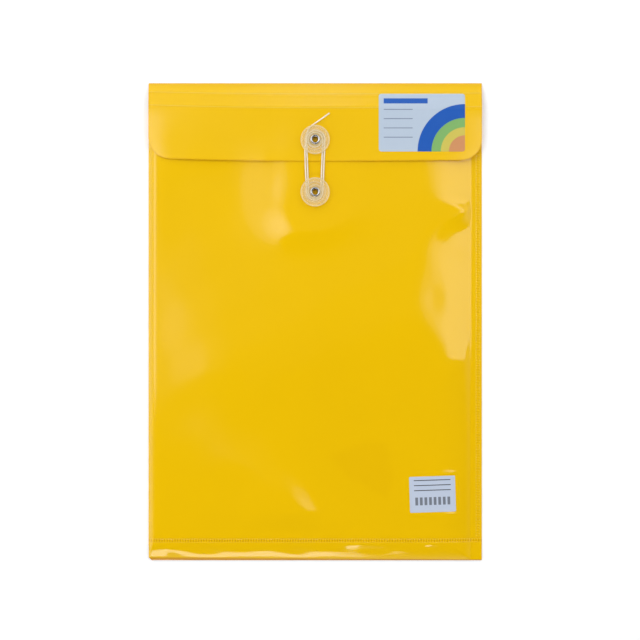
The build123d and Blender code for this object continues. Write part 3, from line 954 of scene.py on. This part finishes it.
def label_grid(width, height, corner, columns, rows):
    """Grid over a rectangle with round corners: each row is as wide as the outline is there."""
    ends = [(-height / 2, corner, 0.15), (height / 2, corner, 0.15)]
    b = graded(-height / 2, height / 2, height / rows, ends)
    past = np.clip(np.abs(b) - (height / 2 - corner), 0, corner)
    half = width / 2 - corner + np.sqrt(corner**2 - past**2)
    a = half[:, None] * np.linspace(-1, 1, columns)
    return a, np.broadcast_to(b[:, None], a.shape)


class ENVELOPE_OT_header_label(bpy.types.Operator):
    """Makes the coloured label on the flap, with a plain design of bands and blocks"""

    bl_idname = "envelope.header_label"
    bl_label = "Flap Label"

    def execute(self, context):
        width, height = (HEADER_HIGH - HEADER_LOW)[:2]
        a, b = label_grid(width, height, 2.0, 60, 60)
        x = a + (HEADER_LOW[0] + HEADER_HIGH[0]) / 2
        y = b + (HEADER_LOW[1] + HEADER_HIGH[1]) / 2
        straight = y
        for _ in range(4):
            straight = y - flap_bow(x, straight)
        top = joined(x, y, flap_height(x, straight) + LABEL_TOP)
        uv = joined(a / height, b / height)
        piece = film_slab("flap_label", top, LABEL_FILM, self.print_paint(), uv=uv)
        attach(piece, "flap")
        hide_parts("header_label")
        return {"FINISHED"}

    def print_paint(self):
        """Printed label: pale ground with quarter rings in the lower right corner and lines to write on."""
        tint = colours()
        paint = Paint("flap_label_print")
        u, v, _ = paint.split(paint.place("UV"))
        colour = paint.mix(paint.noise(300.0, 3.0) * 0.3, tint.label_ground, (0.52, 0.59, 0.68))
        corner = paint.node("ShaderNodeCombineXYZ", None, u - 0.744, v + 0.5, 0.0)
        far = paint.node("ShaderNodeVectorMath", {"operation": "LENGTH"}, corner, out="Value")
        inks = (tint.label_blue, tint.label_green, tint.label_olive, tint.label_orange)
        for reach, ink in zip((0.82, 0.58, 0.42, 0.28), inks):
            colour = paint.mix(far < reach, colour, ink)
        for low in (0.22, 0.06, -0.1, -0.26):
            rule = v.within(low, low + 0.014) * u.within(-0.66, -0.16)
            colour = paint.mix(rule, colour, (0.16, 0.2, 0.3))
        bar = v.within(0.33, 0.42) * u.within(-0.66, 0.1)
        colour = paint.mix(bar, colour, tint.label_blue)
        paint.set(Base_Color=colour, Roughness=paint.noise(80.0) * 0.1 + 0.25)
        paint.relief(paint.noise(1500.0), 0.0000005)
        return paint.material


class ENVELOPE_OT_pocket_label(bpy.types.Operator):
    """Makes the small white label near the foot, with ruled bars"""

    bl_idname = "envelope.pocket_label"
    bl_label = "Pocket Label"

    def execute(self, context):
        width, height = POCKET_LABEL_SIZE
        a, b = label_grid(width, height, 0.8, 40, 34)
        turn = math.radians(POCKET_LABEL_TURN)
        x = LABEL_MIDDLE[0] + a * math.cos(turn) - b * math.sin(turn)
        y = LABEL_MIDDLE[1] + a * math.sin(turn) + b * math.cos(turn)
        top = joined(x, y, front_height(x, y) + LABEL_TOP)
        uv = joined(a / width + 0.5, b / height + 0.5)
        piece = film_slab("pocket_sticker", top, LABEL_FILM, self.print_paint(), uv=uv)
        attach(piece, "pocket")
        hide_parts("pocket_label")
        return {"FINISHED"}

    def print_paint(self):
        """White label with dark rules to write on and a row of blocks."""
        tint = colours()
        paint = Paint("pocket_label_print")
        u, v, _ = paint.split(paint.place("UV"))
        colour = paint.mix(paint.noise(300.0, 3.0) * 0.3, tint.label_white, (0.56, 0.61, 0.7))
        between = u.within(0.1, 0.9)
        for low in (0.6, 0.74, 0.88):
            colour = paint.mix(v.within(low, low + 0.025) * between, colour, tint.label_ink)
        share = (u * 10.0).maths("FRACT")
        blocks = share.within(0.2, 0.8) * v.within(0.2, 0.42) * between
        colour = paint.mix(blocks * 0.75, colour, tint.label_ink)
        paint.set(Base_Color=colour, Roughness=paint.noise(500.0) * 0.15 + 0.35)
        paint.relief(paint.noise(1500.0), 0.000004)
        return paint.material


class ENVELOPE_OT_back(bpy.types.Operator):
    """Gives the back panel its film finish"""

    bl_idname = "envelope.back"
    bl_label = "Back Film"

    def execute(self, context):
        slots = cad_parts["back_panel"].data.materials
        slots.clear()
        slots.append(film_paint("back_film"))
        return {"FINISHED"}


class ENVELOPE_OT_stage(bpy.types.Operator):
    """Makes the floor, the soft light and the camera straight above"""

    bl_idname = "envelope.stage"
    bl_label = "Stage"

    def execute(self, context):
        scene = context.scene
        scene.view_settings.view_transform = "Standard"
        self.add_floor()
        self.add_room(scene)
        for name, place, turn, (width, depth), glow, tint in self.lamp_list():
            light = bpy.data.lights.new(name, "AREA")
            light.shape = "RECTANGLE"
            light.size = width
            light.size_y = depth
            light.energy = glow * math.pi * width * depth
            light.color = tint
            lamp = bpy.data.objects.new(name, light)
            lamp.location = place
            lamp.rotation_euler = [math.radians(angle) for angle in turn]
            lamp.visible_camera = False
            scene.collection.objects.link(lamp)
        self.add_camera(scene)
        return {"FINISHED"}

    def add_floor(self):
        """Pale floor that glows a little where it is seen, and more in the distance."""
        paint = Paint("pale_floor")
        paint.set(Base_Color=(0.9, 0.9, 0.9, 1), Roughness=0.9, Specular_IOR_Level=0.1)
        far = paint.node("ShaderNodeVectorMath", {"operation": "LENGTH"}, paint.place(), out="Value")
        glow = paint.node("ShaderNodeMapRange", None, far, 0.8, 2.6, 0.14, 0.6)
        colour = paint.mix(paint.seen() * glow, (0, 0, 0), WHITE)
        paint.set(Emission_Color=colour, Emission_Strength=1.0)
        square = FLOOR_REACH * np.array([(-1, -1, 0), (1, -1, 0), (1, 1, 0), (-1, 1, 0)])
        floor = grid_mesh("floor", square - (0, 0, FLOOR_DROP), np.array([[0, 1, 2, 3]]), paint.material)

    def add_room(self, scene):
        """White room that is dark overhead: its strength falls as the direction rises."""
        room = Paint("soft_room", bpy.data.worlds.new("soft_room"))
        scene.world = room.material
        _, _, up = room.split(room.place("Generated"))
        wall = room.node("ShaderNodeMapRange", None, up, 0.4, 0.75, 1.0, 0.05)
        room.set(Color=(*WHITE, 1), Strength=wall * (room.seen() * 0.02 + 0.98))

    def lamp_list(self):
        """Name, place, turn, size, glow and tint of each lamp; softboxes are strips, brighter outwards."""
        lamps = [
            ("front_strip", (-0.4, -1.25, 1.04), (50.2, 0, 0), (0.92, 0.36), 5.0, WHITE),
            ("top_softbox", (0.0, 2.7, 1.15), (-67.0, 0, 0), (3.0, 1.3), 0.5, WHITE),
            ("top_strip", (0.0, 1.6, 1.5), (0, 0, 0), (0.1, 1.4), 2.6, WHITE),
            ("ceiling", (-0.35, 0.68, 1.52), (0, 0, 26.0), (3.0, 1.6), 0.04, WHITE),
            ("ceiling", (-0.38, 0.74, 1.53), (0, 0, 28.0), (3.0, 1.6), 0.04, WHITE),
            ("ceiling", (-0.41, 0.8, 1.54), (0, 0, 31.0), (3.0, 1.6), 0.04, WHITE),
        ]
        edges = np.array([0.0, 0.08, 0.16, 0.24, 0.34, 0.48, 0.7, 1.0, 1.54])
        sides = [("left_softbox", -1, 0.14, -0.1, 2.75), ("right_softbox", 1, 0.2, -0.03, 2.3)]
        for name, side, start, low, glow in sides:
            for inner, outer in zip(edges[:-1], edges[1:]):
                middle = (inner + outer) / 2
                place = (side * (start + middle), (low + SOFTBOX_FAR) / 2, SOFTBOX_HEIGHT)
                size = (outer - inner, SOFTBOX_FAR - low)
                share = ease(middle / SOFTBOX_FADE)
                lamps.append((name, place, (0, 0, 0), size, glow * share, SOFTBOX_TINT))
        return lamps

    def add_camera(self, scene):
        """Camera straight above, whose view is VIEW_WIDTH wide at the top of the front."""
        camera = bpy.data.cameras.new("camera")
        camera.sensor_width = 36.0
        camera.lens = camera.sensor_width * CAMERA_HEIGHT / VIEW_WIDTH
        camera.clip_end = 50.0
        viewer = bpy.data.objects.new("camera", camera)
        viewer.location = (*CAMERA_PLACE, CAMERA_HEIGHT + FRONT_TOP * MM)
        scene.collection.objects.link(viewer)
        scene.camera = viewer


class ENVELOPE_PT_panel(bpy.types.Panel):
    """Lists the envelope's pieces, sizes and colours"""

    bl_idname = "ENVELOPE_PT_panel"
    bl_label = "String Tie Envelope"
    bl_space_type = "VIEW_3D"
    bl_region_type = "UI"
    bl_category = "Envelope"

    def draw(self, context):
        for maker in MAKERS:
            self.layout.operator(maker.bl_idname)
        for group in (context.scene.envelope_sizes, context.scene.envelope_colours):
            for name in group.__annotations__:
                self.layout.prop(group, name)


MAKERS = (
    ENVELOPE_OT_stage,
    ENVELOPE_OT_string,
    ENVELOPE_OT_back,
    ENVELOPE_OT_front,
    ENVELOPE_OT_side_seam,
    ENVELOPE_OT_foot,
    ENVELOPE_OT_flap,
    ENVELOPE_OT_buttons,
    ENVELOPE_OT_header_label,
    ENVELOPE_OT_pocket_label,
)
CLASSES = (EnvelopeSizes, EnvelopeColours, *MAKERS, ENVELOPE_PT_panel)


def register():
    """Registers the classes and hangs the settings on the scene."""
    for kind in CLASSES:
        bpy.utils.register_class(kind)
    bpy.types.Scene.envelope_sizes = bpy.props.PointerProperty(type=EnvelopeSizes)
    bpy.types.Scene.envelope_colours = bpy.props.PointerProperty(type=EnvelopeColours)


def unregister():
    """Takes the settings and the classes away again."""
    del bpy.types.Scene.envelope_colours
    del bpy.types.Scene.envelope_sizes
    for kind in reversed(CLASSES):
        bpy.utils.unregister_class(kind)


def main():
    """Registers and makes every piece."""
    register()
    bpy.ops.envelope.stage()
    bpy.ops.envelope.string()
    bpy.ops.envelope.back()
    bpy.ops.envelope.front()
    bpy.ops.envelope.side_seam()
    bpy.ops.envelope.foot()
    bpy.ops.envelope.flap()
    bpy.ops.envelope.buttons()
    bpy.ops.envelope.header_label()
    bpy.ops.envelope.pocket_label()


if __name__ == "__main__":
    main()
